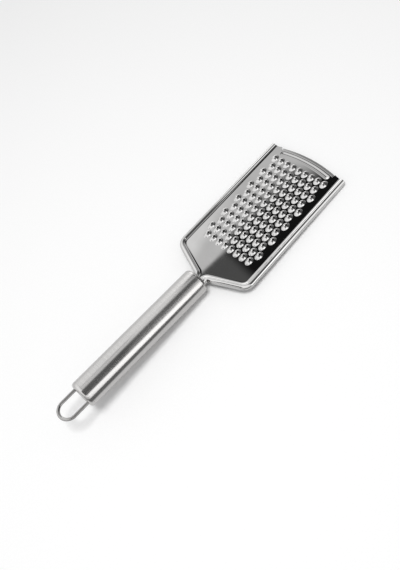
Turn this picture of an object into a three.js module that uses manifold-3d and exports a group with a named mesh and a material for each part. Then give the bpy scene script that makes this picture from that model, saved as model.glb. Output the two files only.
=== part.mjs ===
// Flat hand grater: a stamped plate of hooded teeth with a wired edge, on a closed tube handle with a hanging loop.
// Millimetres, +Z up, +X from the handle to the free end. The handle's front and the ends of the rim rest on z = 0.
import * as THREE from "three";
import { mergeVertices } from "three/addons/utils/BufferGeometryUtils.js";
import Module from "manifold-3d";

// Handle tube and its two end caps
const handleLength = 106;
const handleDiameter = 19;
const handleWall = 0.7;
const capWall = 0.8;
const capEdgeRadius = 2.4;
const capLand = 0.6;
const capSkirtLength = 8;
const skirtClearance = 0.15;

// Hanging loop
const loopWireDiameter = 2.2;
const loopReach = 18.4;
const loopInsertion = 8;
const loopHoleClearance = 0.3;
const loopSkirtClearance = 0.35;

// Blade sheet
const bladeLength = 122.3;
const bladeWidth = 65;
const sheetThickness = 0.6;
const shoulderAngle = THREE.MathUtils.degToRad(22.6);
const shoulderBendRadius = 6.5;

// Rolled edge and the frame wire in it
const frameWireDiameter = 3.2;
const frameWireClearance = 0.3;
const frameWireRecess = 0.6;
const frameWireInsertion = 28;
const rollRise = 0.9;
const rollRampWidth = 0.4;
const rollLead = THREE.MathUtils.degToRad(20);
const rollWrap = THREE.MathUtils.degToRad(285);
const rollInsertion = 6;
const joinWidth = 0.4;

// Neck between blade and handle
const neckGap = 0.5;
const neckDrop = 2;
const neckStraight = 1.5;
const neckBendRadius = 4;
const neckClearance = 0.3;
const crankAngle = THREE.MathUtils.degToRad(4);

// Hooded teeth
const toothLength = 6.75;
const toothWidth = 4.8;
const toothHeight = 1.6;
const toothSideGap = 0.58;
const toothRowGap = 0.28;
const toothHood = 3.875;
const toothToe = 0.575;
const toothToeShare = 0.42;
const toothFlank = 1.4;
const toothRoundness = 2.4;
const fieldSideMargin = 2.5;
const fieldToTip = 14.5;
const fieldToHandle = 28;

// Free end: curved edge, turned-down lip and stiffening bead
const tipRadius = 95;
const lipWidth = 2.9;
const lipDrop = 1.1;
const lipSpan = 45.4;
const lipNotch = 0.7;
const beadInset = 5.4;
const beadWidth = 4.6;
const beadHeight = 0.5;
const beadSpan = 38;

// Fineness of the facets
const turnedSides = 32;
const capEdgeSteps = 3;
const loopSides = 10;
const frameWireSides = 8;
const hairpinSteps = 6;
const bendSteps = 5;
const rollSteps = 9;
const rampSteps = 3;
const toothSides = 8;
const tipSteps = 14;
const slotSteps = 8;

// Sizes that follow from the ones above
const handleRadius = handleDiameter / 2;
const capCrown = capEdgeRadius + capLand;
const skirtOuter = handleRadius - handleWall - skirtClearance;
const skirtInner = skirtOuter - capWall;
const loopHalf = skirtInner - loopSkirtClearance - loopWireDiameter / 2;
const rollRadius = frameWireDiameter / 2 + frameWireClearance + sheetThickness;
const rollBore = rollRadius - sheetThickness;
const rampReach = rollRadius + rollRampWidth;
const joinReach = rampReach + joinWidth / 2;
const sideLine = bladeWidth / 2 - rollRadius;
const neckHalf = rollRadius + neckGap / 2;
const columnPitch = toothWidth + toothSideGap;
const rowPitch = toothLength + toothRowGap;
const tipCentre = bladeLength - tipRadius;
const rimEnd = tipCentre + Math.sqrt(tipRadius ** 2 - (sideLine - joinReach) ** 2);
const sheetLevel = rollRadius - rollRise;

const wasm = await Module();
wasm.setup();

function solidFrom(geometry) {
  const bare = new THREE.BufferGeometry();
  bare.setAttribute("position", geometry.getAttribute("position"));
  bare.setIndex(geometry.getIndex());
  const welded = mergeVertices(bare, 1e-4);
  const mesh = new wasm.Mesh({
    numProp: 3,
    vertProperties: welded.getAttribute("position").array,
    triVerts: new Uint32Array(welded.getIndex().array),
  });
  return new wasm.Manifold(mesh);
}

function geometryFrom(solid) {
  const mesh = solid.getMesh();
  const geometry = new THREE.BufferGeometry();
  geometry.setAttribute("position", new THREE.BufferAttribute(mesh.vertProperties, 3));
  geometry.setIndex(new THREE.BufferAttribute(mesh.triVerts, 1));
  geometry.computeVertexNormals();
  return geometry;
}

function geometryOf(corners) {
  const geometry = new THREE.BufferGeometry().setFromPoints(corners);
  return mergeVertices(geometry, 1e-4);
}

// A profile of radius and height turned about the axis, then laid along +X
function turned(profile) {
  return new THREE.LatheGeometry(profile, turnedSides).rotateZ(-Math.PI / 2);
}

// Stations along a flat path of straight runs joined by round bends, each with its outward side
function route(corners, bendRadii, steps) {
  const stations = [];
  const place = (point, heading) => {
    const last = stations.at(-1);
    if (!last || last.point.distanceTo(point) > 1e-3) {
      stations.push({ point, side: new THREE.Vector2(heading.y, -heading.x) });
    }
  };
  corners.forEach((corner, i) => {
    const before = corner.clone().sub(corners[Math.max(i - 1, 0)]).normalize();
    const after = corners[Math.min(i + 1, corners.length - 1)].clone().sub(corner).normalize();
    if (i === 0 || i === corners.length - 1) {
      place(corner, i === 0 ? after : before);
      return;
    }
    const turn = Math.atan2(before.cross(after), before.dot(after));
    const radius = bendRadii[i - 1];
    const start = corner.clone().addScaledVector(before, -radius * Math.tan(Math.abs(turn) / 2));
    const signedRadius = radius * Math.sign(turn);
    const centre = start.clone().add(new THREE.Vector2(-before.y, before.x).multiplyScalar(signedRadius));
    for (let step = 0; step <= steps; step += 1) {
      const heading = before.clone().rotateAround(new THREE.Vector2(), (turn * step) / steps);
      const spoke = new THREE.Vector2(heading.y, -heading.x).multiplyScalar(signedRadius);
      place(centre.clone().add(spoke), heading);
    }
  });
  return stations;
}

// A closed section of reach and height carried along stations, with both ends capped
function swept(section, stations) {
  const rings = stations.map(({ point, side }) =>
    section.map(({ x: reach, y: height }) =>
      new THREE.Vector3(point.x + side.x * reach, point.y + side.y * reach, height)));
  const corners = [];
  for (let k = 0; k + 1 < rings.length; k += 1) {
    section.forEach((_, i) => {
      const next = (i + 1) % section.length;
      corners.push(rings[k][i], rings[k + 1][i], rings[k][next]);
      corners.push(rings[k][next], rings[k + 1][i], rings[k + 1][next]);
    });
  }
  for (const [a, b, c] of THREE.ShapeUtils.triangulateShape(section, [])) {
    corners.push(rings[0][a], rings[0][b], rings[0][c]);
    corners.push(rings.at(-1)[a], rings.at(-1)[c], rings.at(-1)[b]);
  }
  return geometryOf(corners);
}

function roundSection(diameter, sides, height) {
  const corners = [];
  for (let i = 0; i < sides; i += 1) {
    const angle = (2 * Math.PI * i) / sides;
    corners.push(new THREE.Vector2(Math.cos(angle), Math.sin(angle)).multiplyScalar(diameter / 2));
    corners[i].y += height;
  }
  return corners;
}

// A triangle listed anticlockwise as seen from above
function facingUp(a, b, c) {
  const area = (b.x - a.x) * (c.y - a.y) - (c.x - a.x) * (b.y - a.y);
  return area > 0 ? [a, b, c] : [a, c, b];
}

// A stamped sheet between an upper and a lower skin that share every free edge
function sheetSolid(upper, lower) {
  const sunk = (corner) => new THREE.Vector3(corner.x, corner.y, corner.z - sheetThickness);
  const name = (corner) => corner.toArray().map((value) => value.toFixed(4)).join();
  const edges = new Map();
  for (const triangle of upper) {
    triangle.forEach((from, i) => {
      const to = triangle[(i + 1) % 3];
      const reverse = `${name(to)} ${name(from)}`;
      if (!edges.delete(reverse)) {
        edges.set(`${name(from)} ${name(to)}`, [from, to]);
      }
    });
  }
  const corners = upper.flat();
  for (const [a, b, c] of lower) {
    corners.push(sunk(a), sunk(c), sunk(b));
  }
  for (const [from, to] of edges.values()) {
    corners.push(from, sunk(from), sunk(to), from, sunk(to), to);
  }
  return geometryOf(corners);
}

// Handle tube
const tubeBore = handleRadius - handleWall;
const tubeProfile = [
  new THREE.Vector2(tubeBore, capCrown),
  new THREE.Vector2(handleRadius, capCrown),
  new THREE.Vector2(handleRadius, handleLength - capCrown),
  new THREE.Vector2(tubeBore, handleLength - capCrown),
  new THREE.Vector2(tubeBore, capCrown),
];
const tubeGeometry = turned(tubeProfile).translate(-handleLength, 0, 0);

// End cap: a pressed cup with a rounded edge and a skirt that plugs into the tube
const capProfile = [new THREE.Vector2(0, 0)];
for (let step = 0; step <= capEdgeSteps; step += 1) {
  const angle = (Math.PI / 2) * (step / capEdgeSteps);
  const radius = handleRadius - capEdgeRadius + capEdgeRadius * Math.sin(angle);
  capProfile.push(new THREE.Vector2(radius, capEdgeRadius - capEdgeRadius * Math.cos(angle)));
}
capProfile.push(
  new THREE.Vector2(handleRadius, capCrown),
  new THREE.Vector2(skirtOuter, capCrown),
  new THREE.Vector2(skirtOuter, capCrown + capSkirtLength),
  new THREE.Vector2(skirtInner, capCrown + capSkirtLength),
  new THREE.Vector2(skirtInner, capEdgeRadius),
  new THREE.Vector2(skirtInner - capEdgeRadius + capWall, capWall),
  new THREE.Vector2(0, capWall),
);

// Front cap with the slot that takes the two rolled edges of the neck
const slotRadius = rollRadius + neckClearance;
const slotShape = new THREE.Shape();
slotShape.absarc(0, neckHalf, slotRadius, 0, Math.PI, false);
slotShape.absarc(0, -neckHalf, slotRadius, Math.PI, 2 * Math.PI, false);
const slotDepth = 2 * capCrown;
const slotGeometry = new THREE.ExtrudeGeometry(slotShape, {
  depth: slotDepth,
  bevelEnabled: false,
  curveSegments: slotSteps,
});
slotGeometry.rotateY(Math.PI / 2).translate(-slotDepth / 2, 0, -neckDrop);
const frontCapBlank = solidFrom(turned(capProfile).rotateZ(Math.PI));
const frontCapGeometry = geometryFrom(frontCapBlank.subtract(solidFrom(slotGeometry)));

// Rear cap with the two holes of the hanging loop
let rearCapSolid = solidFrom(turned(capProfile).translate(-handleLength, 0, 0));
const loopHoleRadius = loopWireDiameter / 2 + loopHoleClearance;
for (const hand of [-1, 1]) {
  const hole = new THREE.CylinderGeometry(loopHoleRadius, loopHoleRadius, 2 * capCrown, loopSides);
  hole.rotateZ(Math.PI / 2).translate(-handleLength, hand * loopHalf, 0);
  rearCapSolid = rearCapSolid.subtract(solidFrom(hole));
}
const rearCapGeometry = geometryFrom(rearCapSolid);

// Hanging loop: one wire bent into a U
const loopInside = -handleLength + loopInsertion;
const loopOutside = -handleLength - loopReach + loopWireDiameter / 2;
const loopCorners = [
  new THREE.Vector2(loopInside, loopHalf),
  new THREE.Vector2(loopOutside, loopHalf),
  new THREE.Vector2(loopOutside, -loopHalf),
  new THREE.Vector2(loopInside, -loopHalf),
];
const loopStations = route(loopCorners, [loopHalf, loopHalf], hairpinSteps);
const loopGeometry = swept(roundSection(loopWireDiameter, loopSides, 0), loopStations);

// Path of the rim on the +Y side, from the free end to inside the handle
const neckTurn = Math.PI / 2 - shoulderAngle;
const neckCorner = neckStraight + neckBendRadius * Math.tan(neckTurn / 2);
const shoulderCorner = neckCorner + (sideLine - neckHalf) * Math.tan(shoulderAngle);
const rimCorners = (start, end) => [
  new THREE.Vector2(start, sideLine),
  new THREE.Vector2(shoulderCorner, sideLine),
  new THREE.Vector2(neckCorner, neckHalf),
  new THREE.Vector2(end, neckHalf),
];
const acrossBlade = (corners) => corners.map(({ x, y }) => new THREE.Vector2(x, -y)).reverse();
const rimBends = [shoulderBendRadius, neckBendRadius];

// Frame wire: runs inside both rolled edges and turns back as a hairpin in the handle
const wireCorners = rimCorners(rimEnd - frameWireRecess, -frameWireInsertion);
const wirePath = [...wireCorners, ...acrossBlade(wireCorners)];
const wireBends = [...rimBends, neckHalf, neckHalf, ...rimBends.toReversed()];
const frameWireGeometry = swept(
  roundSection(frameWireDiameter, frameWireSides, -neckDrop),
  route(wirePath, wireBends, bendSteps),
);

// Section of the rolled edge: flat join, ramp up to the roll, then round the wire
const rampEnd = new THREE.Vector2(-Math.sin(rollLead), Math.cos(rollLead)).multiplyScalar(rollRadius);
const rampRun = rampReach + rampEnd.x;
const rollSection = [];
const outerSkin = [new THREE.Vector2(-rampReach - joinWidth, sheetLevel)];
for (let step = 0; step < rampSteps; step += 1) {
  const share = step / rampSteps;
  const eased = share * share * (3 - 2 * share);
  const leaning = share * share * (share - 1) * Math.tan(rollLead) * rampRun;
  const height = sheetLevel + (rampEnd.y - sheetLevel) * eased + leaning;
  outerSkin.push(new THREE.Vector2(-rampReach + rampRun * share, height));
}
outerSkin.forEach(({ x, y }) => rollSection.push(new THREE.Vector2(x, y - sheetThickness)));
const rollArc = [];
for (let step = 0; step <= rollSteps; step += 1) {
  const angle = Math.PI / 2 + rollLead - (rollWrap * step) / rollSteps;
  rollArc.push(new THREE.Vector2(Math.cos(angle), Math.sin(angle)));
}
rollArc.forEach((spoke) => rollSection.push(spoke.clone().multiplyScalar(rollBore)));
rollArc.toReversed().forEach((spoke) => rollSection.push(spoke.clone().multiplyScalar(rollRadius)));
rollSection.push(...outerSkin.toReversed());
rollSection.forEach((corner) => {
  corner.y -= neckDrop;
});
const rimPath = rimCorners(rimEnd, -rollInsertion);
const rimRoute = route(rimPath, rimBends, bendSteps);
const leftRoll = swept(rollSection, rimRoute);
const rightRoll = swept(rollSection, route(acrossBlade(rimPath), rimBends.toReversed(), bendSteps));

// Free end of the flat sheet: points on arcs about the tip centre
const onTip = (radius, angle, height = 0) =>
  new THREE.Vector3(tipCentre + radius * Math.cos(angle), radius * Math.sin(angle), height);
const along = (halfAngle, steps, make) =>
  Array.from({ length: steps + 1 }, (_, i) => make(halfAngle * ((2 * i) / steps - 1)));
const lipHalfAngle = Math.asin(lipSpan / 2 / tipRadius);
const notchAngle = lipHalfAngle + lipNotch / tipRadius;
const foldRadius = tipRadius - lipWidth;
const foldLine = along(lipHalfAngle, tipSteps, (angle) => onTip(foldRadius, angle));
const lipEdge = along(lipHalfAngle, tipSteps, (angle) => onTip(tipRadius, angle, -lipDrop));

// Outline of the flat sheet: half of it from the free end to the neck, then its mirror image
const cornerAngle = Math.asin((sideLine - joinReach) / tipRadius);
const halfOutline = [
  onTip(foldRadius, notchAngle),
  onTip(tipRadius, notchAngle),
  onTip(tipRadius, (notchAngle + cornerAngle) / 2),
];
let middle = null;
for (const { point, side } of rimRoute) {
  const inner = new THREE.Vector3(point.x - side.x * joinReach, point.y - side.y * joinReach, 0);
  const last = halfOutline.at(-1);
  if (inner.y <= 0) {
    middle = last.clone().lerp(inner, last.y / (last.y - inner.y));
    break;
  }
  halfOutline.push(inner);
}
const flipped = halfOutline.map(({ x, y, z }) => new THREE.Vector3(x, -y, z)).reverse();
const sheetOutline = [...foldLine, ...halfOutline, ...(middle ? [middle] : []), ...flipped];

// One hooded tooth: rings of its base, its shoulder and its opening, which faces the free end
const halfLength = toothLength / 2;
const halfWidth = toothWidth / 2;
const mouthRear = toothHood - halfLength;
const mouthFront = halfLength - toothToe;
const mouthCentre = (mouthRear + mouthFront) / 2;
const shoulderShare = 0.42;
const hoodHeight = (x, y) => {
  const toeFall = THREE.MathUtils.smoothstep(x, mouthRear, mouthCentre);
  const dome = 1 - Math.hypot(x / halfLength, y / halfWidth) ** toothRoundness;
  return toothHeight * dome * THREE.MathUtils.lerp(1, toothToeShare, toeFall);
};
const toothRings = { base: [], shoulder: [], mouth: [] };
for (let i = 0; i < toothSides; i += 1) {
  const angle = (2 * Math.PI * i) / toothSides;
  const base = new THREE.Vector3(halfLength * Math.cos(angle), halfWidth * Math.sin(angle), 0);
  const mouth = new THREE.Vector3(
    mouthCentre + ((mouthFront - mouthRear) / 2) * Math.cos(angle),
    (halfWidth - toothFlank) * Math.sin(angle),
    0,
  );
  const shoulder = base.clone().lerp(mouth, shoulderShare);
  shoulder.z = hoodHeight(shoulder.x, shoulder.y);
  mouth.z = hoodHeight(mouth.x, mouth.y);
  toothRings.base.push(base);
  toothRings.shoulder.push(shoulder);
  toothRings.mouth.push(mouth);
}
const band = (outer, inner) =>
  outer.flatMap((corner, i) => {
    const next = (i + 1) % outer.length;
    return [
      [corner, outer[next], inner[i]],
      [outer[next], inner[next], inner[i]],
    ];
  });

// Staggered field of teeth: full rows and rows with one tooth less, as many as the flat sheet takes
const fieldHalf = sideLine - rampReach - fieldSideMargin - halfWidth;
const fullRow = Math.floor((2 * fieldHalf) / columnPitch) + 1;
const lastRow = bladeLength - fieldToTip;
const rowCount = Math.floor((lastRow - fieldToHandle) / rowPitch) + 1;
const teeth = [];
for (let row = 0; row < rowCount; row += 1) {
  const count = fullRow - (row % 2);
  for (let i = 0; i < count; i += 1) {
    const y = (i - (count - 1) / 2) * columnPitch;
    const seat = new THREE.Vector3(lastRow - row * rowPitch, y, 0);
    const placed = (ring) => ring.map((corner) => corner.clone().add(seat));
    teeth.push({
      base: placed(toothRings.base),
      shoulder: placed(toothRings.shoulder),
      mouth: placed(toothRings.mouth),
    });
  }
}

// Stiffening bead: a raised ridge that follows the free end, pointed at both ends
const beadRadius = tipRadius - beadInset;
const beadAngle = Math.asin(beadSpan / 2 / beadRadius);
const beadOuter = along(beadAngle, tipSteps, (angle) => onTip(beadRadius + beadWidth / 2, angle));
const beadInner = along(beadAngle, tipSteps, (angle) => onTip(beadRadius - beadWidth / 2, angle));
const beadCrest = along(beadAngle, tipSteps, (angle) => onTip(beadRadius, angle, beadHeight));
const beadEndAngle = beadAngle + beadWidth / 2 / beadRadius;
const beadStart = onTip(beadRadius, -beadEndAngle);
const beadFinish = onTip(beadRadius, beadEndAngle);
const beadRing = [beadStart, ...beadOuter, beadFinish, ...beadInner.toReversed()];
const beadRoof = [beadCrest[0], ...beadCrest, beadCrest.at(-1), ...beadCrest.toReversed()];
const areDistinct = ([a, b, c]) => a !== b && b !== c && c !== a;
const beadFaces = band(beadRing, beadRoof).filter(areDistinct);

// Skins of the stamped sheet
const holes = [...teeth.map(({ base }) => base), beadRing];
const flatCorners = [sheetOutline, ...holes].flat();
const flatFaces = THREE.ShapeUtils.triangulateShape(sheetOutline, holes)
  .map((face) => face.map((index) => flatCorners[index]));
const lipFaces = [];
for (let i = 0; i < tipSteps; i += 1) {
  lipFaces.push([foldLine[i], lipEdge[i], lipEdge[i + 1]]);
  lipFaces.push([foldLine[i], lipEdge[i + 1], foldLine[i + 1]]);
}
const sharedFaces = [...flatFaces, ...lipFaces, ...beadFaces];
const hoodFaces = teeth.flatMap(({ base, shoulder, mouth }) => [...band(base, shoulder), ...band(shoulder, mouth)]);
const hollowFaces = teeth.flatMap(({ base, mouth }) => band(base, mouth));
const upwards = (faces) => faces.map((face) => facingUp(...face));
const stampedSheet = sheetSolid(
  upwards([...sharedFaces, ...hoodFaces]),
  upwards([...sharedFaces, ...hollowFaces]),
);
stampedSheet.translate(0, 0, sheetLevel - neckDrop);
const plateSolid = solidFrom(stampedSheet).add(solidFrom(leftRoll)).add(solidFrom(rightRoll));

// Assembly: the handle rises from the plane of the head
const polished = { color: 0xc8cacd, roughness: 0.12, metalness: 1 };
const satin = { color: 0xbcbdbf, roughness: 0.34, metalness: 1 };
function piece(name, geometry, finish) {
  const mesh = new THREE.Mesh(geometry, new THREE.MeshStandardMaterial(finish));
  mesh.name = name;
  return mesh;
}

const head = new THREE.Group();
head.name = "head";
head.rotation.y = -crankAngle;
head.add(piece("grating_plate", geometryFrom(plateSolid), polished));
head.add(piece("frame_wire", frameWireGeometry, polished));

const handle = new THREE.Group();
handle.name = "handle";
handle.add(piece("handle_tube", tubeGeometry, satin));
handle.add(piece("front_cap", frontCapGeometry, satin));
handle.add(piece("rear_cap", rearCapGeometry, satin));
handle.add(piece("hanging_loop", loopGeometry, polished));

// Resting pose: the ends of the rim and the front edge of the handle touch the table
const rimFoot = new THREE.Vector2(rimEnd, -neckDrop - rollRadius).rotateAround(new THREE.Vector2(), crankAngle);
const capFoot = new THREE.Vector2(-capEdgeRadius, capEdgeRadius - handleRadius);
const footing = rimFoot.clone().sub(capFoot);
const restPitch = footing.angle() + Math.asin(capEdgeRadius / footing.length());
const assembly = new THREE.Group();
assembly.name = "assembly";
assembly.rotation.y = restPitch;
assembly.add(head, handle);

const grater = new THREE.Group();
grater.name = "grater";
grater.add(assembly);
grater.updateMatrixWorld(true);
const extent = new THREE.Box3().setFromObject(grater, true);
const centre = extent.getCenter(new THREE.Vector3());
grater.position.set(-centre.x, -centre.y, -extent.min.z);

export default grater;
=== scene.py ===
"""Flat hand grater of stainless steel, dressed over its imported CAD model. Shapes are in millimetres."""
import math

import bmesh
import bpy
from mathutils import Matrix, Vector
from mathutils.geometry import delaunay_2d_cdt


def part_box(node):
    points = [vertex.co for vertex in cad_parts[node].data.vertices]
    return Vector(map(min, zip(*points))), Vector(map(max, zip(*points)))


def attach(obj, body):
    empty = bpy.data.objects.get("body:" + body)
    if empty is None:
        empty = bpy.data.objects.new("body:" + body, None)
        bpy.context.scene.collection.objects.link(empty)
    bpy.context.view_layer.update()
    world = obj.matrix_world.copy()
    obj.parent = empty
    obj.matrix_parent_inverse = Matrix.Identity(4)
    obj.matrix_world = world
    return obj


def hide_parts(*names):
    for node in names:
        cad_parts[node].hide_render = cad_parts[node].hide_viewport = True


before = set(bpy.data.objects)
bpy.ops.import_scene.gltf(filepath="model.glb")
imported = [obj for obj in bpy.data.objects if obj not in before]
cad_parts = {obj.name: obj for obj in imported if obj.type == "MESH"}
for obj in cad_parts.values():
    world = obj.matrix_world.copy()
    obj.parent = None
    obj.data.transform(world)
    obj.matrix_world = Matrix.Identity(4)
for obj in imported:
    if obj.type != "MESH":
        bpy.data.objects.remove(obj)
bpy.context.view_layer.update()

MM = 0.001

# Handle tube, caps and hanging loop
HANDLE_LENGTH = 106.0
HANDLE_RADIUS = 9.5
HANDLE_WALL = 0.7
SEAM_CHAMFER = 0.06
CAP_WALL = 0.8
CAP_EDGE_RADIUS = 2.4
CAP_CROWN = 3.0
CAP_SKIRT_LENGTH = 8.0
SKIRT_OUTER = 8.65
LOOP_WIRE_RADIUS = 1.1
LOOP_REACH = 18.4
LOOP_INSERTION = 8.0
LOOP_HALF = 6.4
LOOP_HOLE_RADIUS = 1.4

# Blade sheet, rolled edge and the wire in it
BLADE_LENGTH = 122.3
SHEET_THICKNESS = 0.6
SHOULDER_ANGLE = math.radians(22.6)
SHOULDER_BEND_RADIUS = 6.5
WIRE_RADIUS = 1.45
WIRE_RECESS = 0.6
WIRE_INSERTION = 28.0
ROLL_RADIUS = 2.5
ROLL_RISE = 0.9
ROLL_WRAP = math.radians(253)
BROW_RADIUS = 1.3
BROW_END = math.radians(12)
WALL_ANGLE = math.radians(42)
FOOT_RADIUS = 2.2
LEAD_LENGTH = 1.0
LEAD_SLOPE = 0.1
ROLL_INSERTION = 6.0
RAMP_REACH = 2.9
JOIN_WIDTH = 0.2
SIDE_LINE = 29.91

# Neck between blade and handle
NECK_HALF = 2.75
NECK_DROP = 2.0
NECK_STRAIGHT = 1.5
NECK_BEND_RADIUS = 4.0
NECK_CLEARANCE = 0.3
CRANK_ANGLE = math.radians(4)

# Hooded teeth
TOOTH_HALF_LENGTH = 3.4
TOOTH_HALF_WIDTH = 2.25
TOOTH_HEIGHT = 1.35
TOOTH_CROWN = -0.8
TOOTH_ROUNDNESS = 2.1
TOOTH_FILLET_START = 0.97
MOUTH_REAR = -0.1
MOUTH_FRONT = 2.0
MOUTH_HALF_WIDTH = 0.7
COLUMN_PITCH = 5.38
ROW_PITCH = 7.03
FULL_ROW = 9
ROW_COUNT = 12
FIELD_TO_TIP = 13.9

# Free end: curved edge, turned-down lip and pressed-in bead
TIP_RADIUS = 95.0
LIP_WIDTH = 2.9
LIP_DROP = 1.1
LIP_SPAN = 45.4
LIP_NOTCH = 0.7
LIP_FOLD_WIDTH = 0.8
BEAD_INSET = 5.4
BEAD_HALF_WIDTH = 2.3
BEAD_DEPTH = 0.5
BEAD_SPAN = 38.0
BEAD_MARGIN = 0.004

# Fineness and tolerances of the meshes
TURNED_SIDES = 96
EDGE_STEPS = 10
WIRE_SIDES = 24
BEND_STEPS = 14
RAMP_STEPS = 28
ROLL_STEPS = 30
TOOTH_SIDES = 28
TIP_STEPS = 60
BEAD_RINGS = 8
STRAIGHT_SPACING = 3.0
DOME_SHARES = [0, 0.03, 0.07, 0.12, 0.19, 0.28, 0.38, 0.5, 0.63, 0.77, 0.9, 1]
HOLLOW_SHARES = [0, 0.12, 0.28, 0.5, 0.77, 1]
BISECTIONS = 40
CREASE = math.radians(40)
WELD_DISTANCE = 1e-6
SAME_POINT = 1e-3
TINY = 1e-6
CDT_INSIDE = 1
CDT_EPSILON = 1e-5

# Steel: colours, grain in cycles per metre, roughness and bump
POLISHED_COLOURS = (0.60, 0.595, 0.59, 1.0), (0.66, 0.655, 0.65, 1.0)
# Loop wire: the polished steel's colours made darker, as painted shade for the wire's darker look
WIRE_COLOURS_PAINTED_SHADE = (0.34, 0.335, 0.33, 1.0), (0.44, 0.435, 0.43, 1.0)
SATIN_COLOURS = (0.57, 0.56, 0.555, 1.0), (0.67, 0.66, 0.65, 1.0)
CLOUD_SCALES = (60, 60, 60)
CLOUD_DETAIL = 3
GRAIN_SCALES = (2500, 250, 2500)
GRAIN_DETAIL = 2
GRAIN_BUMP = {"distance": 1e-7, "strength": 0.2}
STROKE_SCALES = (9000, 120, 1)
STROKE_DETAIL = 3
STROKE_BUMP = {"distance": 3e-6, "strength": 0.3}
POLISHED_ROUGHNESS = 0.02, 0.035
DRAWN_ROUGHNESS = 0.05
DRAWN_RISE = 0.4
DRAWN_MARGIN = 1.0
SATIN_ROUGHNESS = 0.18, 0.26
SATIN_ANISOTROPY = 0.6
NOISE_RANGE = 0.3, 0.7

# Paper floor in metres, its darkness in mirror images, and the shade under the plate
FLOOR_HALF = 3.0
PAPER_COLOURS = (0.94, 0.94, 0.94, 1.0), (0.96, 0.96, 0.96, 1.0)
FIBRE_SCALES = (900, 900, 900)
FIBRE_DETAIL = 2
BLACK = (0.0, 0.0, 0.0, 1.0)
HEAD_RUN = 0.0, 0.03
HEAD_WIDENING = 0.03
FLOOR_FAR_EDGE = -0.03, -0.05
FLOOR_DARKNESS = 0.2, 0.85
SHADE_SIDE = 0.026, 0.018
SHADE_REAR = 0.022, 0.03
SHADE_FRONT = 0.112, 0.104
SHADE_DARKNESS = 0.97

# Light tent that the metal mirrors: each panel's strength, and each edge's axis, start and full place
TENT_RIGHT = 0.8
TENT_LEFT = 0.95
TENT_TURN = 0.03, 0.18
PANELS = {
    "field": (0.88, ("x", 0.26, 0.34), ("y", 0.2, 0.3)),
    "left_wall": (1.2, ("y", 0.475, 0.495), ("x", 0.45, 0.3)),
    "far_wall": (1.2, ("y", 0.52, 0.6), ("z", 0.1, 0.25)),
    "far_window": (2.3, ("y", 0.54, 0.62), ("x", 0.34, 0.46), ("z", 0.1, 0.25)),
    "rear_window": (1.5, ("x", 0.12, -0.12), ("z", 0.3, 0.5)),
    "front_gap": (0.4, ("x", 0.82, 0.9)),
    "dark_gap": (0.13, ("y", 0.07, -0.05), ("x", 0.1, 0.18)),
}

# White panel on the right, whose upper edge rises and whose light fades towards the front
WHITE_STRENGTHS = 2.3, 1.6
WHITE_FADE = 0.34, 0.44
WHITE_RISE = 0.36
WHITE_RISE_RUN = 0.3, 0.46
WHITE_TOP = -0.73, -0.86
WHITE_EDGES = ("x", -0.02, 0.1), ("x", 0.6, 0.5), ("z", 0.0, 0.06)

# Black card that the right half of the plate mirrors
CARD_START = 0.315
CARD_EDGE = 0.4545
CARD_SLOPE = -0.2
CARD_TIP_SHIFT = -0.025
CARD_TIP_RUN = 0.488, 0.506
CARD_FIELD_SHIFT = 0.012
CARD_FIELD_RUN = 0.335, 0.36
CARD_SHARP = 0.003
CARD_BLUR = 0.11
CARD_STRENGTHS = 0.12, 0.012
CARD_STRENGTH_RUN = 0.325, 0.345
CARD_LIFT = 0.27
CARD_LIFT_RUN = 0.46, 0.38
CARD_FOOT = 0.03, 0.09
CARD_EDGES = ("x", 0.26, 0.28), ("x", 0.64, 0.58)

# Plain light on all but mirror images, the backdrop that the camera sees, and the lamp in metres
EVEN_LIGHT = 0.66
BACKDROP = 1.0
LAMP_SIZE = 0.35
LAMP_ENERGY = 5.5
LAMP_PLACE = Vector((-0.1, -0.1, 1.0))

# Camera of the photograph: its place in millimetres, its picture's right and up, and its lens
CAMERA_EYE = Vector((-80.34, -183.04, 353.63))
CAMERA_RIGHT = Vector((0.65185, -0.72374, -0.22651))
CAMERA_UP = Vector((0.73162, 0.52156, 0.43898))
CAMERA_LENS = 37.74
CAMERA_SENSOR = 36.0
CAMERA_CLIP_START = 0.01

# Levels and lines that follow from the sizes
SHEET_TOP = ROLL_RADIUS - ROLL_RISE - NECK_DROP
TIP_CENTRE = BLADE_LENGTH - TIP_RADIUS
RIM_END = TIP_CENTRE + math.sqrt(TIP_RADIUS ** 2 - (SIDE_LINE - RAMP_REACH - JOIN_WIDTH) ** 2)
RAMP_END = Vector((math.sin(BROW_END), math.cos(BROW_END))) * ROLL_RADIUS
NECK_CORNER = NECK_STRAIGHT + NECK_BEND_RADIUS * math.tan((math.pi / 2 - SHOULDER_ANGLE) / 2)
SHOULDER_CORNER = NECK_CORNER + (SIDE_LINE - NECK_HALF) * math.tan(SHOULDER_ANGLE)
FILLET_SHARE = 1 - TOOTH_FILLET_START ** TOOTH_ROUNDNESS
FILLET_SLOPE = TOOTH_ROUNDNESS * TOOTH_FILLET_START ** (TOOTH_ROUNDNESS - 1)
TOOTH_FOOT = TOOTH_FILLET_START + 2 * FILLET_SHARE / FILLET_SLOPE
FOLD_RADIUS = TIP_RADIUS - LIP_WIDTH
LIP_HALF_ANGLE = math.asin(LIP_SPAN / 2 / TIP_RADIUS)
BEAD_RADIUS = TIP_RADIUS - BEAD_INSET
BEAD_HALF_ANGLE = math.asin(BEAD_SPAN / 2 / BEAD_RADIUS)


def rest_pitch():
    """Tilt at which the rim's two ends and the handle's front edge touch the table."""
    rim_foot = Matrix.Rotation(CRANK_ANGLE, 2) @ Vector((RIM_END, -NECK_DROP - ROLL_RADIUS))
    cap_foot = Vector((-CAP_EDGE_RADIUS, CAP_EDGE_RADIUS - HANDLE_RADIUS))
    footing = rim_foot - cap_foot
    return math.atan2(footing.y, footing.x) + math.asin(CAP_EDGE_RADIUS / footing.length)


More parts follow.
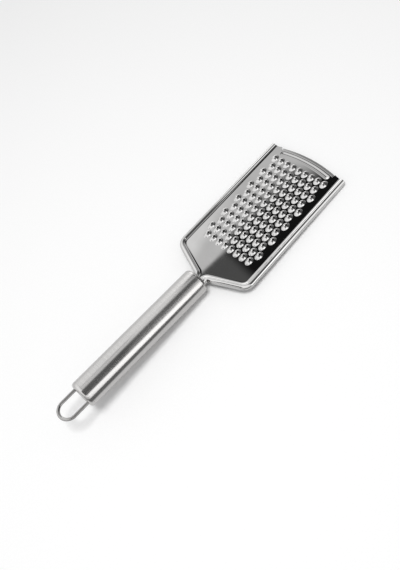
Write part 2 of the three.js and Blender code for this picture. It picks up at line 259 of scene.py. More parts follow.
def frames():
    """Places of the handle's frame and the head's frame in the row, from the tube's own box."""
    low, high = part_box("handle_tube")
    turn = Matrix.Rotation(rest_pitch(), 4, "Y")
    middle = Vector((-HANDLE_LENGTH / 2 * MM, 0, 0))
    handle = Matrix.Translation((low + high) / 2) @ turn @ Matrix.Translation(-middle)
    return handle, handle @ Matrix.Rotation(-CRANK_ANGLE, 4, "Y")


HANDLE_FRAME, HEAD_FRAME = frames()


class Shape:
    """Points in millimetres and the faces between them, gathered before they become one mesh."""

    def __init__(self):
        self.points = []
        self.faces = []
        self.flat_faces = []

    def add(self, points):
        first = len(self.points)
        self.points.extend(Vector(point) for point in points)
        return list(range(first, len(self.points)))

    def face(self, corners, flat=False):
        (self.flat_faces if flat else self.faces).append(tuple(corners))

    def strip(self, ring, following, closed):
        """Quads between two rings of the same length."""
        count = len(ring)
        for i in range(count if closed else count - 1):
            after = (i + 1) % count
            self.face((ring[i], ring[after], following[after], following[i]))

    def loft(self, rings, closed):
        """Strips through a row of rings."""
        placed = [self.add(ring) for ring in rings]
        for ring, following in zip(placed, placed[1:]):
            self.strip(ring, following, closed)
        return placed

    def bar(self, rings, closed):
        """A loft with a flat face at each end."""
        placed = self.loft(rings, closed)
        self.face(placed[0], flat=True)
        self.face(placed[-1], flat=True)


def mark_creases(mesh_edit):
    for edge in mesh_edit.edges:
        if len(edge.link_faces) == 2 and edge.calc_face_angle() > CREASE:
            edge.smooth = False


def mesh_from(shape, name):
    """One welded mesh in metres, with smooth faces, flat faces and sharp creases."""
    mesh_edit = bmesh.new()
    verts = [mesh_edit.verts.new(point * MM) for point in shape.points]
    for smooth, faces in ((True, shape.faces), (False, shape.flat_faces)):
        for corners in faces:
            mesh_edit.faces.new([verts[i] for i in corners]).smooth = smooth
    bmesh.ops.remove_doubles(mesh_edit, verts=mesh_edit.verts, dist=WELD_DISTANCE)
    bmesh.ops.recalc_face_normals(mesh_edit, faces=mesh_edit.faces)
    mark_creases(mesh_edit)
    mesh = bpy.data.meshes.new(name)
    mesh_edit.to_mesh(mesh)
    mesh_edit.free()
    return mesh


def new_object(name, mesh):
    piece = bpy.data.objects.new(name, mesh)
    bpy.context.scene.collection.objects.link(piece)
    return piece


def new_piece(name, shape):
    return new_object(name, mesh_from(shape, name))


def dress(piece, place, node, material):
    """Puts a piece in the row, gives it its material and lets it stand for its CAD node."""
    piece.data.transform(place)
    piece.data.materials.clear()
    piece.data.materials.append(material)
    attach(piece, "root")
    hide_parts(node)


def lay_out(mesh):
    """Unrolls a turned piece: U in metres along its axis, V in metres round the handle."""
    sheet = mesh.uv_layers.new(name="unrolled")
    for face in mesh.polygons:
        facing = math.atan2(face.center.z, face.center.y)
        for i in face.loop_indices:
            spot = mesh.vertices[mesh.loops[i].vertex_index].co
            turn = math.atan2(spot.z, spot.y) - facing
            angle = facing + (turn + math.pi) % (2 * math.pi) - math.pi
            sheet.data[i].uv = (spot.x, angle * HANDLE_RADIUS * MM)


def eased(low, high, value):
    share = min(max((value - low) / (high - low), 0), 1)
    return share * share * (3 - 2 * share)


def mark_drawn(mesh):
    """Marks how far each point of the plate was drawn up into a tooth."""
    drawn = mesh.attributes.new("drawn", "FLOAT", "POINT")
    field_end = BLADE_LENGTH - FIELD_TO_TIP + TOOTH_HALF_LENGTH
    field_start = field_end - ROW_COUNT * ROW_PITCH - TOOTH_HALF_LENGTH
    field_half = (FULL_ROW + 1) / 2 * COLUMN_PITCH - TOOTH_HALF_WIDTH
    for point, mark in zip(mesh.vertices, drawn.data):
        x, y, z = point.co / MM
        if field_start < x < field_end + DRAWN_MARGIN and abs(y) < field_half:
            mark.value = eased(0, DRAWN_RISE, z - SHEET_TOP)


def cut(blank, cutter):
    """Takes the cutter's solid out of the blank and removes the cutter."""
    modifier = blank.modifiers.new("cut", "BOOLEAN")
    modifier.operation = "DIFFERENCE"
    modifier.solver = "EXACT"
    modifier.object = cutter
    bpy.context.view_layer.update()
    graph = bpy.context.evaluated_depsgraph_get()
    result = bpy.data.meshes.new_from_object(blank.evaluated_get(graph))
    blank.modifiers.clear()
    mesh_edit = bmesh.new()
    mesh_edit.from_mesh(result)
    for face in mesh_edit.faces:
        face.smooth = True
    mark_creases(mesh_edit)
    mesh_edit.to_mesh(result)
    mesh_edit.free()
    blank.data = result
    bpy.data.objects.remove(cutter)


def spokes(count):
    """Angles of a full turn in equal steps."""
    return [2 * math.pi * i / count for i in range(count)]


def turned(profile, closed):
    """A profile of radius and x turned about the X axis."""
    shape = Shape()
    rings = []
    for radius, x in profile:
        rings.append([(x, radius * math.cos(a), radius * math.sin(a)) for a in spokes(TURNED_SIDES)])
    if closed:
        rings.append(rings[0])
    shape.loft(rings, closed=True)
    return shape


def route(corners, bend_radii, spacing):
    """Stations of point and outward side along straight runs joined by round bends."""
    stations = []

    def place(point, heading):
        if stations:
            last, side = stations[-1]
            pieces = max(1, math.ceil((point - last).length / spacing))
            if (point - last).length < SAME_POINT:
                return
            for i in range(1, pieces):
                stations.append((last.lerp(point, i / pieces), side))
        stations.append((point.copy(), Vector((heading.y, -heading.x))))

    for i, corner in enumerate(corners):
        before = (corner - corners[max(i - 1, 0)]).normalized()
        after = (corners[min(i + 1, len(corners) - 1)] - corner).normalized()
        if i in (0, len(corners) - 1):
            place(corner, after if i == 0 else before)
            continue
        turn = math.atan2(before.x * after.y - before.y * after.x, before.dot(after))
        radius = bend_radii[i - 1]
        signed = math.copysign(radius, turn)
        start = corner - before * radius * math.tan(abs(turn) / 2)
        centre = start + Vector((-before.y, before.x)) * signed
        for step in range(BEND_STEPS + 1):
            heading = Matrix.Rotation(turn * step / BEND_STEPS, 2) @ before
            place(centre + Vector((heading.y, -heading.x)) * signed, heading)
    return stations


def wire(stations, radius, height):
    """A round wire along stations, closed at both ends."""
    shape = Shape()
    rings = []
    for point, side in stations:
        ring = []
        for angle in spokes(WIRE_SIDES):
            reach = radius * math.cos(angle)
            ring.append((*(point + side * reach), height + radius * math.sin(angle)))
        rings.append(ring)
    shape.bar(rings, closed=True)
    return shape


def rim_corners(start, end):
    return [
        Vector((start, SIDE_LINE)),
        Vector((SHOULDER_CORNER, SIDE_LINE)),
        Vector((NECK_CORNER, NECK_HALF)),
        Vector((end, NECK_HALF)),
    ]


RIM_BENDS = [SHOULDER_BEND_RADIUS, NECK_BEND_RADIUS]


def ramp_height(distance):
    """Height of the sheet inside the wire's centre: gentle lead, round foot, wall and brow."""
    across = -distance
    low = ROLL_RADIUS - ROLL_RISE
    brow = RAMP_END * (1 - BROW_RADIUS / ROLL_RADIUS)
    wall_top = brow + Vector((-math.sin(WALL_ANGLE), math.cos(WALL_ANGLE))) * BROW_RADIUS
    lead_angle = math.atan(LEAD_SLOPE)
    lead_top = low + LEAD_SLOPE * LEAD_LENGTH / 2
    wall_foot_height = lead_top + FOOT_RADIUS * (math.cos(lead_angle) - math.cos(WALL_ANGLE))
    wall_foot = wall_top.x - (wall_top.y - wall_foot_height) / math.tan(WALL_ANGLE)
    lead_end = wall_foot - FOOT_RADIUS * (math.sin(WALL_ANGLE) - math.sin(lead_angle))
    if across > wall_top.x:
        return brow.y + math.sqrt(BROW_RADIUS ** 2 - (across - brow.x) ** 2)
    if across > wall_foot:
        return wall_top.y - (wall_top.x - across) * math.tan(WALL_ANGLE)
    if across > lead_end:
        centre = lead_end - FOOT_RADIUS * math.sin(lead_angle)
        foot_drop = math.sqrt(FOOT_RADIUS ** 2 - (across - centre) ** 2)
        return lead_top + FOOT_RADIUS * math.cos(lead_angle) - foot_drop
    along_lead = max(across - lead_end + LEAD_LENGTH, 0)
    return low + LEAD_SLOPE * along_lead ** 2 / (2 * LEAD_LENGTH)


def inner_limit(point, side):
    """Distance from the wire's centre to the flat sheet, or to the middle plane where that is nearer."""
    limit = RAMP_REACH + JOIN_WIDTH
    return min(limit, point.y / side.y) if side.y > TINY else limit


def rim_ring(point, side):
    """The rolled edge's section at one station: over the top, round the wire, and back underneath."""
    limit = inner_limit(point, side)
    whole = RAMP_REACH + JOIN_WIDTH + RAMP_END.x
    steps = [JOIN_WIDTH + (whole - JOIN_WIDTH) * k / RAMP_STEPS for k in range(RAMP_STEPS)]
    shares = [0] + [step / whole for step in steps]
    top = []
    for share in shares:
        distance = limit * (1 - share) - RAMP_END.x * share
        top.append((-distance, ramp_height(distance)))
    turns = [math.pi / 2 - BROW_END - ROLL_WRAP * k / ROLL_STEPS for k in range(ROLL_STEPS + 1)]
    bore = ROLL_RADIUS - SHEET_THICKNESS
    outside = top + [(ROLL_RADIUS * math.cos(a), ROLL_RADIUS * math.sin(a)) for a in turns]
    inside = [(x, y - SHEET_THICKNESS) for x, y in top]
    inside += [(bore * math.cos(a), bore * math.sin(a)) for a in turns]
    section = outside + inside[::-1]
    return [(*(point + side * x), y - NECK_DROP) for x, y in section]


def rim_stations():
    """Stations of the left rim, with one added where the ramp first meets the middle plane."""
    stations = route(rim_corners(RIM_END, -ROLL_INSERTION), RIM_BENDS, STRAIGHT_SPACING)

    def overlap(point, side):
        return side.y * (RAMP_REACH + JOIN_WIDTH) - point.y

    for i in range(len(stations) - 1):
        (point, side), (next_point, next_side) = stations[i], stations[i + 1]
        if overlap(point, side) < 0 <= overlap(next_point, next_side):
            low, high = 0.0, 1.0
            for _ in range(BISECTIONS):
                middle = (low + high) / 2
                between = point.lerp(next_point, middle), side.lerp(next_side, middle).normalized()
                low, high = (middle, high) if overlap(*between) < 0 else (low, middle)
            return stations[:i + 1] + [between] + stations[i + 1:], i + 1
    raise ValueError("the two ramps do not meet at the neck")


def on_tip(radius, angle, height=0.0):
    return Vector((TIP_CENTRE + radius * math.cos(angle), radius * math.sin(angle), SHEET_TOP + height))


def mirrored(points):
    return [Vector((point.x, -point.y, point.z)) for point in reversed(points)]


def arc(half_angle, make):
    return [make(half_angle * (2 * i / TIP_STEPS - 1)) for i in range(TIP_STEPS + 1)]


def tooth_height(rho):
    """Height of a tooth at a share of the way from its crown to its foot: a dome with a fillet."""
    if rho < TOOTH_FILLET_START:
        return TOOTH_HEIGHT * (1 - rho ** TOOTH_ROUNDNESS)
    share = max(TOOTH_FOOT - rho, 0) / (TOOTH_FOOT - TOOTH_FILLET_START)
    return TOOTH_HEIGHT * FILLET_SHARE * share * share


def tooth_share(spot):
    """How far a spot lies from the crown, as a share of the way to the tooth's oval foot line."""
    crown = Vector((TOOTH_CROWN / TOOTH_HALF_LENGTH, 0))
    offset = Vector((spot.x / TOOTH_HALF_LENGTH, spot.y / TOOTH_HALF_WIDTH)) - crown
    if offset.length < TINY:
        return 0.0
    towards = offset.normalized()
    inward = -crown.dot(towards)
    reach = inward + math.sqrt(inward ** 2 + 1 - crown.length_squared)
    return offset.length / reach


def tooth_rings(shares):
    """Rings of a tooth from its foot to its opening."""
    centre = (MOUTH_REAR + MOUTH_FRONT) / 2
    crown = Vector((TOOTH_CROWN, 0))
    rings = []
    for share in shares:
        ring = []
        for angle in spokes(TOOTH_SIDES):
            oval = Vector((TOOTH_HALF_LENGTH * math.cos(angle), TOOTH_HALF_WIDTH * math.sin(angle)))
            base = crown + (oval - crown) * TOOTH_FOOT
            mouth_x = centre + (MOUTH_FRONT - MOUTH_REAR) / 2 * math.cos(angle)
            spot = base.lerp(Vector((mouth_x, MOUTH_HALF_WIDTH * math.sin(angle))), share)
            ring.append(Vector((spot.x, spot.y, tooth_height(tooth_share(spot)))))
        rings.append(ring)
    return rings


def tooth_seats():
    seats = []
    for row in range(ROW_COUNT):
        count = FULL_ROW - row % 2
        for i in range(count):
            x = BLADE_LENGTH - FIELD_TO_TIP - row * ROW_PITCH
            seats.append(Vector((x, (i - (count - 1) / 2) * COLUMN_PITCH, SHEET_TOP)))
    return seats


def bead_ring(share):
    """One closed line round the bead, at a share of its half width from its middle line."""
    width = BEAD_HALF_WIDTH * share
    height = -BEAD_DEPTH * (1 + math.cos(math.pi * share)) / 2
    outer = arc(BEAD_HALF_ANGLE, lambda angle: on_tip(BEAD_RADIUS + width, angle, height))
    inner = arc(BEAD_HALF_ANGLE, lambda angle: on_tip(BEAD_RADIUS - width, angle, height))
    ends = {}
    for hand in (-1, 1):
        centre = on_tip(BEAD_RADIUS, hand * BEAD_HALF_ANGLE, height)
        radial = Vector((math.cos(BEAD_HALF_ANGLE), hand * math.sin(BEAD_HALF_ANGLE), 0))
        onward = Vector((-hand * radial.y, hand * radial.x, 0))
        turns = [math.pi * k / EDGE_STEPS for k in range(1, EDGE_STEPS)]
        ends[hand] = [centre + (radial * math.cos(t) + onward * math.sin(t)) * width for t in turns]
    return outer + ends[1] + inner[::-1] + ends[-1][::-1]


def in_bead(spot):
    offset = spot - Vector((TIP_CENTRE, 0))
    angle = min(max(math.atan2(offset.y, offset.x), -BEAD_HALF_ANGLE), BEAD_HALF_ANGLE)
    nearest = Vector((BEAD_RADIUS * math.cos(angle), BEAD_RADIUS * math.sin(angle)))
    return (offset - nearest).length < BEAD_HALF_WIDTH - BEAD_MARGIN


def lowered(points):
    return [point - Vector((0, 0, SHEET_THICKNESS)) for point in points]


def sheet_outline(stations, apex):
    """Edge of the flat sheet, and its free edges at the curved end."""
    inner = []
    for point, side in stations[:apex + 1]:
        spot = point - side * inner_limit(point, side)
        inner.append(Vector((spot.x, max(spot.y, 0), SHEET_TOP)))
    notch = LIP_HALF_ANGLE + LIP_NOTCH / TIP_RADIUS
    corner = math.asin(inner[0].y / TIP_RADIUS)
    fold = arc(LIP_HALF_ANGLE, lambda angle: on_tip(FOLD_RADIUS, angle))
    tab = [on_tip(FOLD_RADIUS, notch)]
    tab += [on_tip(TIP_RADIUS, notch + (corner - notch) * k / EDGE_STEPS) for k in range(EDGE_STEPS + 1)]
    left_free = [fold[-1]] + tab
    outline = fold + tab[:-1] + inner + mirrored(inner[:-1]) + mirrored(tab[:-1])
    return outline, [left_free, mirrored(left_free)]


def lip_rings():
    """Lines along the turned-down lip, from the fold to the edge."""
    slope = LIP_DROP / (LIP_WIDTH - LIP_FOLD_WIDTH / 2)
    rings = []
    for k in range(EDGE_STEPS + 1):
        reach = LIP_FOLD_WIDTH * k / EDGE_STEPS
        drop = slope * reach * reach / (2 * LIP_FOLD_WIDTH)
        rings.append(arc(LIP_HALF_ANGLE, lambda angle: on_tip(FOLD_RADIUS + reach, angle, -drop)))
    rings.append(arc(LIP_HALF_ANGLE, lambda angle: on_tip(TIP_RADIUS, angle, -LIP_DROP)))
    return rings


def plate_shape():
    """The stamped plate: flat sheet, teeth, bead, lip and both rolled edges, as one closed sheet."""
    shape = Shape()
    stations, apex = rim_stations()
    outline, free_edges = sheet_outline(stations, apex)
    seats = tooth_seats()
    foot_ring = tooth_rings([0])[0]

    # Flat sheet round the teeth and the bead, above and below
    loops = [outline] + [[corner + seat for corner in foot_ring] for seat in seats] + [bead_ring(1)]
    spots, edges, owner = [], [], []
    for number, loop in enumerate(loops):
        first = len(spots)
        spots += [corner.to_2d() for corner in loop]
        edges += [(first + i, first + (i + 1) % len(loop)) for i in range(len(loop))]
        owner += [number] * len(loop)
    found, _, triangles, origins, _, _ = delaunay_2d_cdt(spots, edges, [], CDT_INSIDE, CDT_EPSILON)
    top = shape.add((*spot, SHEET_TOP) for spot in found)
    bottom = shape.add((*spot, SHEET_TOP - SHEET_THICKNESS) for spot in found)
    for triangle in triangles:
        owners = {owner[origins[i][0]] for i in triangle}
        is_tooth = len(owners) == 1 and 0 < min(owners) <= len(seats)
        middle = sum((found[i] for i in triangle), Vector((0, 0))) / 3
        if is_tooth or in_bead(middle):
            continue
        shape.face([top[i] for i in triangle], flat=True)
        shape.face([bottom[i] for i in reversed(triangle)], flat=True)

    # Teeth: dome, hollow underneath, and the cut edge of each opening
    dome = tooth_rings(DOME_SHARES)
    hollow = tooth_rings(HOLLOW_SHARES)
    for seat in seats:
        over = shape.loft([[corner + seat for corner in ring] for ring in dome], closed=True)
        under = shape.loft([lowered(corner + seat for corner in ring) for ring in hollow], closed=True)
        shape.strip(over[-1], under[-1], closed=True)

    # Bead and lip, above and below
    bead = [bead_ring(1 - k / BEAD_RINGS) for k in range(BEAD_RINGS + 1)]
    lip = lip_rings()
    shape.loft(bead, closed=True)
    shape.loft([lowered(ring) for ring in bead], closed=True)
    shape.loft(lip, closed=False)
    shape.loft([lowered(ring) for ring in lip], closed=False)

    # Cut edges of the free end
    lip_ends = [[ring[i] for ring in lip] for i in (0, -1)]
    for line in free_edges + lip_ends + [lip[-1]]:
        shape.loft([line, lowered(line)], closed=False)

    # Rolled edges
    for hand in (1, -1):
        rings = []
        for point, side in stations:
            rings.append([(x, max(y, 0) * hand, z) for x, y, z in rim_ring(point, side)])
        shape.bar(rings, closed=False)
    return shape


def cap_profile():
    profile = [(0.0, 0.0)]
    for step in range(EDGE_STEPS + 1):
        angle = math.pi / 2 * step / EDGE_STEPS
        radius = HANDLE_RADIUS - CAP_EDGE_RADIUS + CAP_EDGE_RADIUS * math.sin(angle)
        profile.append((radius, CAP_EDGE_RADIUS - CAP_EDGE_RADIUS * math.cos(angle)))
    skirt_inner = SKIRT_OUTER - CAP_WALL
    profile += [
        (HANDLE_RADIUS, CAP_CROWN - SEAM_CHAMFER),
        (HANDLE_RADIUS - SEAM_CHAMFER, CAP_CROWN),
        (SKIRT_OUTER, CAP_CROWN),
        (SKIRT_OUTER, CAP_CROWN + CAP_SKIRT_LENGTH),
        (skirt_inner, CAP_CROWN + CAP_SKIRT_LENGTH),
        (skirt_inner, CAP_EDGE_RADIUS),
        (skirt_inner - CAP_EDGE_RADIUS + CAP_WALL, CAP_WALL),
        (0.0, CAP_WALL),
    ]
    return profile


def tube_profile():
    bore = HANDLE_RADIUS - HANDLE_WALL
    start, end = -HANDLE_LENGTH + CAP_CROWN, -CAP_CROWN
    return [
        (bore, start),
        (HANDLE_RADIUS - SEAM_CHAMFER, start),
        (HANDLE_RADIUS, start + SEAM_CHAMFER),
        (HANDLE_RADIUS, end - SEAM_CHAMFER),
        (HANDLE_RADIUS - SEAM_CHAMFER, end),
        (bore, end),
    ]


def prism(outline, start, end):
    """A straight solid of an outline in Y and Z between two places along X."""
    shape = Shape()
    shape.bar([[(x, y, z) for y, z in outline] for x in (start, end)], closed=True)
    return shape


def slot_outline():
    radius = ROLL_RADIUS + NECK_CLEARANCE
    outline = []
    for hand in (1, -1):
        for k in range(WIRE_SIDES + 1):
            angle = math.pi * k / WIRE_SIDES + (0 if hand == 1 else math.pi)
            across = hand * NECK_HALF + radius * math.sin(angle)
            outline.append((across, radius * math.cos(angle) - NECK_DROP))
    return outline


def round_outline(radius, centre):
    return [(centre + radius * math.cos(a), radius * math.sin(a)) for a in spokes(WIRE_SIDES)]


# Materials
class Nodes:
    """Writes a node tree as calls whose values are numbers, colours or other nodes' outputs."""

    def __init__(self, tree):
        self.tree = tree

    def node(self, kind, **settings):
        made = self.tree.nodes.new(kind)
        for name, value in settings.items():
            setattr(made, name, value)
        return made

    def give(self, socket, value):
        if isinstance(value, bpy.types.NodeSocket):
            self.tree.links.new(value, socket)
        else:
            socket.default_value = value

    def math(self, operation, *values):
        made = self.node("ShaderNodeMath", operation=operation)
        for socket, value in zip(made.inputs, values):
            self.give(socket, value)
        return made.outputs["Value"]

    def axes(self, space):
        """The three parts of a texture coordinate."""
        place = self.node("ShaderNodeTexCoord").outputs[space]
        apart = self.node("ShaderNodeSeparateXYZ")
        self.give(apart.inputs["Vector"], place)
        return dict(zip("xyz", apart.outputs))

    def remapped(self, value, span, result, interpolation):
        made = self.node("ShaderNodeMapRange", interpolation_type=interpolation)
        for name, limit in zip(("From Min", "From Max", "To Min", "To Max"), (*span, *result)):
            made.inputs[name].default_value = limit
        self.give(made.inputs["Value"], value)
        return made.outputs["Result"]

    def ramp(self, value, start, end, low=0.0, high=1.0):
        """Low before start, high after end, smooth between them."""
        return self.remapped(value, (start, end), (low, high), "SMOOTHSTEP")

    def spread(self, noise, low=0.0, high=1.0):
        """A noise value taken from its usual middle range to low..high."""
        return self.remapped(noise, NOISE_RANGE, (low, high), "LINEAR")

    def blend(self, kind, share, first, second):
        made = self.node("ShaderNodeMix", data_type=kind)
        for name, value in (("Factor", share), ("A", first), ("B", second)):
            self.give(made.inputs[name], value)
        return made.outputs["Result"]

    def mix(self, share, first, second):
        return self.blend("FLOAT", share, first, second)

    def tint(self, share, first, second):
        return self.blend("RGBA", share, first, second)

    def noise(self, scales, detail, space="Object"):
        """Noise stretched by a scale for each axis, in cycles per metre."""
        place = self.node("ShaderNodeTexCoord").outputs[space]
        mapping = self.node("ShaderNodeMapping")
        mapping.inputs["Scale"].default_value = scales
        self.give(mapping.inputs["Vector"], place)
        made = self.node("ShaderNodeTexNoise")
        made.inputs["Scale"].default_value = 1.0
        made.inputs["Detail"].default_value = detail
        self.give(made.inputs["Vector"], mapping.outputs["Vector"])
        return made.outputs["Fac"]

    def bump(self, height, distance, strength):
        made = self.node("ShaderNodeBump")
        made.inputs["Distance"].default_value = distance
        made.inputs["Strength"].default_value = strength
        self.give(made.inputs["Height"], height)
        return made.outputs["Normal"]


def new_material(name):
    """A material, its shader and a writer for its nodes."""
    material = bpy.data.materials.new(name)
    material.use_nodes = True
    return material, material.node_tree.nodes["Principled BSDF"], Nodes(material.node_tree)


def polished_steel(name, colours):
    """Bright steel, a little duller where the plate was drawn up into teeth."""
    material, shader, make = new_material(name)
    cloud = make.noise(CLOUD_SCALES, CLOUD_DETAIL)
    grain = make.noise(GRAIN_SCALES, GRAIN_DETAIL)
    drawn = make.node("ShaderNodeAttribute", attribute_name="drawn").outputs["Fac"]
    roughness = make.math("MULTIPLY_ADD", drawn, DRAWN_ROUGHNESS, make.spread(grain, *POLISHED_ROUGHNESS))
    shader.inputs["Metallic"].default_value = 1.0
    make.give(shader.inputs["Base Color"], make.tint(make.spread(cloud), *colours))
    make.give(shader.inputs["Roughness"], roughness)
    make.give(shader.inputs["Normal"], make.bump(grain, **GRAIN_BUMP))
    return material


def satin_steel():
    """Steel brushed round the handle."""
    material, shader, make = new_material("satin_steel")
    strokes = make.noise(STROKE_SCALES, STROKE_DETAIL, "UV")
    along = make.node("ShaderNodeTangent", direction_type="UV_MAP", uv_map="unrolled").outputs["Tangent"]
    shader.inputs["Metallic"].default_value = 1.0
    shader.inputs["Anisotropic"].default_value = SATIN_ANISOTROPY
    make.give(shader.inputs["Tangent"], along)
    make.give(shader.inputs["Base Color"], make.tint(make.spread(strokes), *SATIN_COLOURS))
    make.give(shader.inputs["Roughness"], make.spread(strokes, *SATIN_ROUGHNESS))
    make.give(shader.inputs["Normal"], make.bump(strokes, **STROKE_BUMP))
    return material


# Pieces of the grater
def build_grater():
    polished = polished_steel("polished_steel", POLISHED_COLOURS)
    # The loop wire gets a darker copy of the polished steel, as painted shade
    wire_steel_painted_shade = polished_steel("wire_steel_painted_shade", WIRE_COLOURS_PAINTED_SHADE)
    satin = satin_steel()

    plate = new_piece("stamped_plate", plate_shape())
    mark_drawn(plate.data)
    dress(plate, HEAD_FRAME, "grating_plate", polished)

    left = rim_corners(RIM_END - WIRE_RECESS, -WIRE_INSERTION)
    right = [Vector((corner.x, -corner.y)) for corner in reversed(left)]
    bends = RIM_BENDS + [NECK_HALF, NECK_HALF] + RIM_BENDS[::-1]
    core = wire(route(left + right, bends, STRAIGHT_SPACING), WIRE_RADIUS, -NECK_DROP)
    core_piece = new_piece("rim_wire", core)
    dress(core_piece, HEAD_FRAME, "frame_wire", polished)

    tube = turned(tube_profile(), closed=True)
    tube_piece = new_piece("satin_tube", tube)
    lay_out(tube_piece.data)
    dress(tube_piece, HANDLE_FRAME, "handle_tube", satin)

    front = turned([(radius, -x) for radius, x in cap_profile()], closed=False)
    front_piece = new_piece("neck_cap", front)
    slot = prism(slot_outline(), -CAP_CROWN, CAP_CROWN)
    cut(front_piece, new_piece("neck_slot", slot))
    lay_out(front_piece.data)
    dress(front_piece, HANDLE_FRAME, "front_cap", satin)

    rear = turned([(radius, x - HANDLE_LENGTH) for radius, x in cap_profile()], closed=False)
    rear_piece = new_piece("loop_cap", rear)
    for hand in (-1, 1):
        ends = -HANDLE_LENGTH - CAP_CROWN, -HANDLE_LENGTH + CAP_CROWN
        hole = prism(round_outline(LOOP_HOLE_RADIUS, hand * LOOP_HALF), *ends)
        cut(rear_piece, new_piece("loop_hole", hole))
    lay_out(rear_piece.data)
    dress(rear_piece, HANDLE_FRAME, "rear_cap", satin)

    inside = -HANDLE_LENGTH + LOOP_INSERTION
    outside = -HANDLE_LENGTH - LOOP_REACH + LOOP_WIRE_RADIUS
    corners = [Vector((x, y)) for x, y in (
        (inside, LOOP_HALF), (outside, LOOP_HALF), (outside, -LOOP_HALF), (inside, -LOOP_HALF))]
    loop = wire(route(corners, [LOOP_HALF, LOOP_HALF], STRAIGHT_SPACING), LOOP_WIRE_RADIUS, 0.0)
    loop_piece = new_piece("loop_wire", loop)
    dress(loop_piece, HANDLE_FRAME, "hanging_loop", wire_steel_painted_shade)


# Studio: floor, light and camera
def build_floor():
    """White paper, which the metal mirrors bright beside the grater and dark further off."""
    mesh = bpy.data.meshes.new("floor")
    corners = [(x * FLOOR_HALF, y * FLOOR_HALF, 0) for x, y in ((-1, -1), (1, -1), (1, 1), (-1, 1))]
    mesh.from_pydata(corners, [], [(0, 1, 2, 3)])
    floor = new_object("floor", mesh)
    material, shader, make = new_material("floor_paper")
    shader.inputs["Roughness"].default_value = 1.0
    shader.inputs["Specular IOR Level"].default_value = 0.0
    paper = make.tint(make.spread(make.noise(FIBRE_SCALES, FIBRE_DETAIL)), *PAPER_COLOURS)
    place = make.axes("Object")

    # The plate is wider than the handle, so the dark begins further out there
    beside = make.math("ADD", place["y"], make.ramp(place["x"], *HEAD_RUN, 0.0, HEAD_WIDENING))
    glossy = make.node("ShaderNodeLightPath").outputs["Is Glossy Ray"]
    mirrored_dark = make.math("MULTIPLY", glossy, make.ramp(beside, *FLOOR_FAR_EDGE, *FLOOR_DARKNESS))

    # Deep shade under the plate, as seen through the teeth
    side = make.ramp(make.math("ABSOLUTE", place["y"]), *SHADE_SIDE)
    under = make.math("MULTIPLY", side, make.ramp(place["x"], *SHADE_REAR))
    shade = make.math("MULTIPLY", under, make.ramp(place["x"], *SHADE_FRONT, 0.0, SHADE_DARKNESS))

    shaded = make.tint(shade, paper, BLACK)
    make.give(shader.inputs["Base Color"], make.tint(mirrored_dark, shaded, BLACK))
    floor.data.materials.append(material)


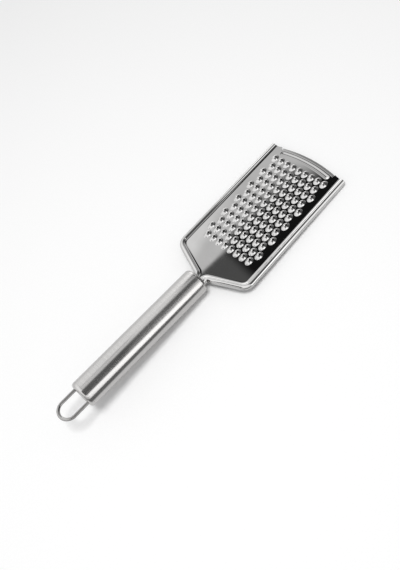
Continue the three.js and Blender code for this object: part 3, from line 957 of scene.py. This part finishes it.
def build_world():
    """A light tent for mirror images, plain light for the rest, and a pale backdrop."""
    world = bpy.data.worlds.new("studio")
    world.use_nodes = True
    bpy.context.scene.world = world
    world.node_tree.nodes.clear()
    make = Nodes(world.node_tree)
    axes = make.axes("Generated")
    x, y = axes["x"], axes["y"]

    def panel(behind, strength, edges, *masks):
        mask = 1.0
        for another in [make.ramp(axes[axis], start, end) for axis, start, end in edges] + list(masks):
            mask = make.math("MULTIPLY", mask, another)
        return make.mix(mask, behind, strength)

    def shifted(run, amount):
        return make.ramp(x, *run, 0.0, amount)

    tent = make.mix(make.ramp(y, *TENT_TURN), TENT_RIGHT, TENT_LEFT)
    for strength, *edges in PANELS.values():
        tent = panel(tent, strength, edges)

    height = make.math("SUBTRACT", y, shifted(WHITE_RISE_RUN, WHITE_RISE))
    white = make.mix(make.ramp(x, *WHITE_FADE), *WHITE_STRENGTHS)
    tent = panel(tent, white, WHITE_EDGES, make.ramp(height, *WHITE_TOP))

    # Card: its edge slants, moves with two shifts and blurs towards the front
    past = make.math("SUBTRACT", x, CARD_START)
    slant = make.math("MULTIPLY_ADD", past, CARD_SLOPE, CARD_EDGE)
    field_shift = shifted(CARD_FIELD_RUN, CARD_FIELD_SHIFT)
    tip_shift = shifted(CARD_TIP_RUN, CARD_TIP_SHIFT)
    edge = make.math("ADD", slant, make.math("ADD", field_shift, tip_shift))
    softness = make.math("MULTIPLY_ADD", make.math("MAXIMUM", past, 0.0), CARD_BLUR, CARD_SHARP)
    inside = make.math("DIVIDE", make.math("SUBTRACT", edge, y), softness)
    above = make.math("SUBTRACT", y, shifted(CARD_LIFT_RUN, CARD_LIFT))
    card = make.mix(make.ramp(x, *CARD_STRENGTH_RUN), *CARD_STRENGTHS)
    tent = panel(tent, card, CARD_EDGES, make.ramp(inside, -1.0, 1.0), make.ramp(above, *CARD_FOOT))

    path = make.node("ShaderNodeLightPath")
    lit = make.mix(path.outputs["Is Glossy Ray"], EVEN_LIGHT, tent)
    background = make.node("ShaderNodeBackground")
    make.give(background.inputs["Strength"], make.mix(path.outputs["Is Camera Ray"], lit, BACKDROP))
    output = make.node("ShaderNodeOutputWorld")
    make.give(output.inputs["Surface"], background.outputs["Background"])


def build_flag(name, strength, ends, angles, distance):
    """A curved card along the handle, seen only in mirror images. Ends and distance in millimetres."""
    shape = Shape()
    lines = []
    for k in range(EDGE_STEPS + 1):
        angle = math.radians(angles[0] + (angles[1] - angles[0]) * k / EDGE_STEPS)
        lines.append([(x, distance * math.sin(angle), distance * math.cos(angle)) for x in ends])
    shape.loft(lines, closed=False)
    flag = new_piece(name, shape)
    flag.data.transform(HANDLE_FRAME)
    material, _, make = new_material(name)
    glow = make.node("ShaderNodeEmission")
    glow.inputs["Strength"].default_value = strength
    make.give(material.node_tree.nodes["Material Output"].inputs["Surface"], glow.outputs["Emission"])
    flag.data.materials.append(material)
    flag.visible_camera = False
    flag.visible_diffuse = False
    flag.visible_shadow = False


def build_lamp():
    lamp = bpy.data.lights.new("key", "AREA")
    lamp.shape = "DISK"
    lamp.size = LAMP_SIZE
    lamp.energy = LAMP_ENERGY
    key = bpy.data.objects.new("key", lamp)
    bpy.context.scene.collection.objects.link(key)
    key.location = LAMP_PLACE
    key.rotation_euler = (-LAMP_PLACE).to_track_quat("-Z", "Y").to_euler()
    key.visible_glossy = False


def build_camera():
    view = bpy.data.cameras.new("camera")
    view.sensor_width = CAMERA_SENSOR
    view.lens = CAMERA_LENS
    view.clip_start = CAMERA_CLIP_START
    camera = bpy.data.objects.new("camera", view)
    bpy.context.scene.collection.objects.link(camera)
    turn = Matrix((CAMERA_RIGHT, CAMERA_UP, CAMERA_RIGHT.cross(CAMERA_UP))).transposed().to_4x4()
    camera.matrix_world = Matrix.Translation(CAMERA_EYE * MM) @ turn
    bpy.context.scene.camera = camera


build_camera()
build_grater()
build_floor()
build_world()
build_lamp()
build_flag("dark_flag", strength=0.13, ends=(-170.0, -65.0), angles=(-50.0, -4.0), distance=90.0)
build_flag("pale_flag", strength=0.95, ends=(-45.0, 12.0), angles=(8.0, 36.0), distance=85.0)
bpy.context.scene.view_settings.view_transform = "Standard"
